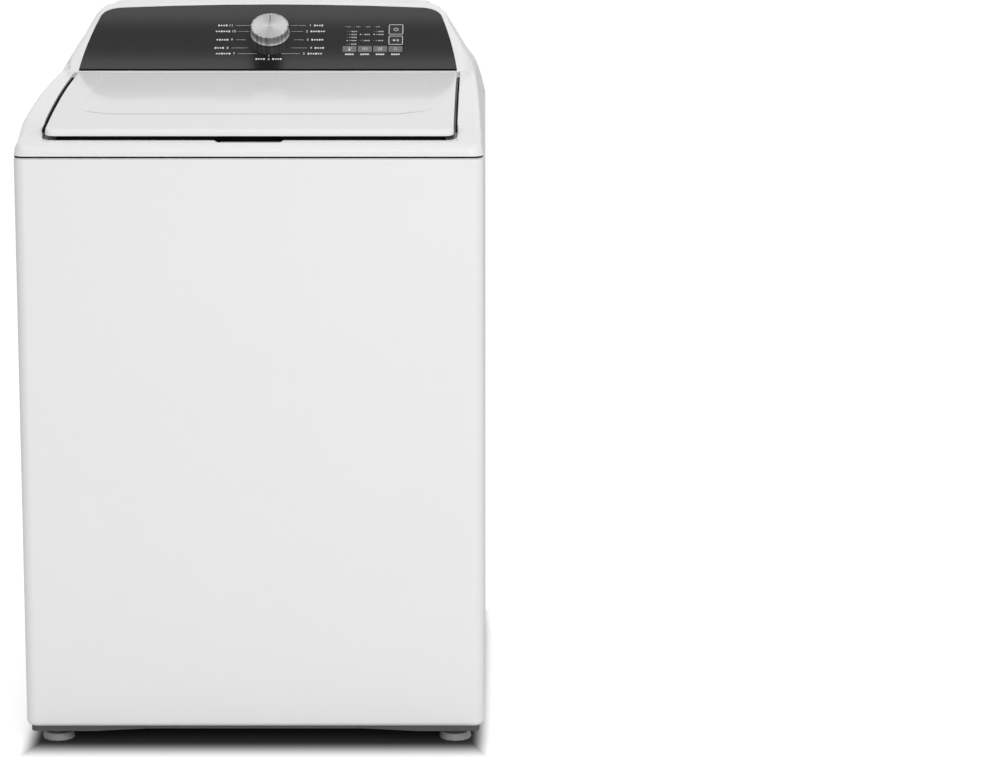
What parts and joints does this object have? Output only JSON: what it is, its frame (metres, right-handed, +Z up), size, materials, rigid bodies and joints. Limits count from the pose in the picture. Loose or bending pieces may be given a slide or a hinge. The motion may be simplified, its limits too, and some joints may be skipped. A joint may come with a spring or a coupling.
{
  "type": "top load washing machine",
  "caption": "Top load clothes washer with a hinged lid, sloping control console, dial and keys, hung tub, spin basket, agitator and belt drive.",
  "frame": {"origin": "centre of the footprint, on the floor", "axes": "+Z up, the front with the lid's finger gap faces -Y, +X to the right seen from the front"},
  "size_m": [0.6984, 0.711, 1.067],
  "materials": {
    "cabinet_white": "smooth white enamel",
    "steel_parts": "zinc plated sheet",
    "moulding_white": "white moulding, slight gloss",
    "console_black": "glossy black panel",
    "key_dark": "dark key top",
    "key_grey": "grey key top",
    "board": "circuit board",
    "knob_metal": "radially brushed",
    "moulding_black": "dark moulding",
    "tub_plastic": "light grey moulding",
    "bearing_steel": "ground steel",
    "rubber_seal": "black rubber",
    "rubber_feet": "dark rubber pad on a steel stud",
    "basket_steel": "stainless sheet",
    "agitator_plastic": "pale moulding",
    "cast_metal": "die casting",
    "pulley_metal": "turned and cast",
    "motor_shell": "dark enamel",
    "hose_grey": "ribbed hose"
  },
  "bodies": {
    "cabinet": {"cabinet_wrap": "cabinet_white", "rear_panel": "cabinet_white", "base_frame": "steel_parts", "top_cover": "cabinet_white", "console_back": "cabinet_white", "fascia": "console_black", "control_board": "board", "lid_lock": "moulding_black", "bleach_dispenser": "moulding_white", "fill_nozzle": "moulding_white", "inlet_valve": "moulding_white", "drain_port": "moulding_black", "cord_gland": "moulding_black", "drain_hose": "hose_grey", "suspension_rod_front_left": "steel_parts", "suspension_rod_front_right": "steel_parts", "suspension_rod_rear_left": "steel_parts", "suspension_rod_rear_right": "steel_parts", "suspension_spring_front_left": "bearing_steel", "suspension_spring_front_right": "bearing_steel", "suspension_spring_rear_left": "bearing_steel", "suspension_spring_rear_right": "bearing_steel"},
    "tub": {"outer_tub": "tub_plastic", "tub_ring": "moulding_white", "lower_bearing": "bearing_steel", "upper_bearing": "bearing_steel", "tub_seal": "rubber_seal", "drive_plate": "steel_parts", "gearcase": "cast_metal", "drive_motor": "motor_shell", "run_capacitor": "moulding_black", "clutch_shifter": "moulding_black", "drain_pump": "moulding_black", "drive_belt": "rubber_seal"},
    "basket_group": {"basket": "basket_steel", "balance_ring": "moulding_white", "basket_drive_hub": "cast_metal"},
    "agitator": {"wash_plate": "agitator_plastic", "agitator_post": "agitator_plastic", "agitator_cap": "agitator_plastic", "drive_shaft": "bearing_steel"},
    "large_pulley": {"drive_pulley": "pulley_metal"},
    "small_pulley": {"motor_pulley": "pulley_metal"},
    "clutch": {"clutch_collar": "moulding_black"},
    "lid_group": {"lid": "cabinet_white", "lid_liner": "moulding_white", "lid_hinge_left": "steel_parts", "lid_hinge_right": "steel_parts"},
    "knob": {"cycle_knob": "knob_metal"},
    "bolt": {"lock_bolt": "steel_parts"},
    "power_key": {"power_button": "key_dark"},
    "start_key": {"start_button": "key_dark"},
    "temperature_key": {"temperature_button": "key_grey"},
    "rinse_key": {"rinse_button": "key_grey"},
    "options_key": {"options_button": "key_grey"},
    "faucet_key": {"faucet_button": "key_grey"},
    "foot_front_left_body": {"foot_front_left": "rubber_feet"},
    "foot_front_right_body": {"foot_front_right": "rubber_feet"},
    "foot_rear_left_body": {"foot_rear_left": "rubber_feet"},
    "foot_rear_right_body": {"foot_rear_right": "rubber_feet"}
  },
  "joints": [
    {"name": "lid_hinge", "type": "hinge", "parent": "cabinet", "child": "lid_group", "pos_m": [0, 0.145, 0.96], "axis": [-1, 0, 0], "range_deg": [0, 105]},
    {"name": "cycle_knob_turn", "type": "hinge", "parent": "cabinet", "child": "knob", "pos_m": [0, 0.2353, 1.01809], "axis": [0, -0.5592, 0.829], "continuous": true},
    {"name": "lid_lock_slide", "type": "slide", "parent": "cabinet", "child": "bolt", "axis": [-1, 0, 0], "range_m": [0, 0.009]},
    {"name": "tub_bounce", "type": "slide", "parent": "cabinet", "child": "tub", "axis": [0, 0, 1], "range_m": [-0.03, 0.01], "stiffness_N_per_m": 10000, "springref_m": 0.0399, "deforming": ["suspension_spring_front_left", "suspension_spring_front_right", "suspension_spring_rear_left", "suspension_spring_rear_right"]},
    {"name": "basket_spin", "type": "hinge", "parent": "tub", "child": "basket_group", "pos_m": [0, -0.01275, 0.3], "axis": [0, 0, 1], "continuous": true},
    {"name": "agitator_turn", "type": "hinge", "parent": "tub", "child": "agitator", "pos_m": [0, -0.01275, 0.3], "axis": [0, 0, 1], "continuous": true},
    {"name": "drive_pulley_turn", "type": "hinge", "parent": "tub", "child": "large_pulley", "pos_m": [0, -0.01275, 0.09], "axis": [0, 0, 1], "continuous": true},
    {"name": "motor_pulley_turn", "type": "hinge", "parent": "tub", "child": "small_pulley", "pos_m": [0.172, -0.09075, 0.09], "axis": [0, 0, 1], "continuous": true},
    {"name": "clutch_shift", "type": "slide", "parent": "tub", "child": "clutch", "axis": [0, 0, 1], "range_m": [-0.003, 0.005]},
    {"name": "power_press", "type": "slide", "parent": "cabinet", "child": "power_key", "axis": [0, 0.5592, -0.829], "range_m": [0, 0.0012], "stiffness_N_per_m": 900, "springref_m": -0.0006},
    {"name": "start_press", "type": "slide", "parent": "cabinet", "child": "start_key", "axis": [0, 0.5592, -0.829], "range_m": [0, 0.0012], "stiffness_N_per_m": 900, "springref_m": -0.0006},
    {"name": "temperature_press", "type": "slide", "parent": "cabinet", "child": "temperature_key", "axis": [0, 0.5592, -0.829], "range_m": [0, 0.0012], "stiffness_N_per_m": 900, "springref_m": -0.0006},
    {"name": "rinse_press", "type": "slide", "parent": "cabinet", "child": "rinse_key", "axis": [0, 0.5592, -0.829], "range_m": [0, 0.0012], "stiffness_N_per_m": 900, "springref_m": -0.0006},
    {"name": "options_press", "type": "slide", "parent": "cabinet", "child": "options_key", "axis": [0, 0.5592, -0.829], "range_m": [0, 0.0012], "stiffness_N_per_m": 900, "springref_m": -0.0006},
    {"name": "faucet_press", "type": "slide", "parent": "cabinet", "child": "faucet_key", "axis": [0, 0.5592, -0.829], "range_m": [0, 0.0012], "stiffness_N_per_m": 900, "springref_m": -0.0006},
    {"name": "foot_front_left_level", "type": "slide", "parent": "cabinet", "child": "foot_front_left_body", "axis": [0, 0, 1], "range_m": [-0.01, 0.01]},
    {"name": "foot_front_right_level", "type": "slide", "parent": "cabinet", "child": "foot_front_right_body", "axis": [0, 0, 1], "range_m": [-0.01, 0.01]},
    {"name": "foot_rear_left_level", "type": "slide", "parent": "cabinet", "child": "foot_rear_left_body", "axis": [0, 0, 1], "range_m": [-0.01, 0.01]},
    {"name": "foot_rear_right_level", "type": "slide", "parent": "cabinet", "child": "foot_rear_right_body", "axis": [0, 0, 1], "range_m": [-0.01, 0.01]}
  ],
  "couplings": [
    {"joint": "drive_pulley_turn", "follows": "agitator_turn", "ratio": 3.6},
    {"joint": "motor_pulley_turn", "follows": "agitator_turn", "ratio": 11.733}
  ]
}
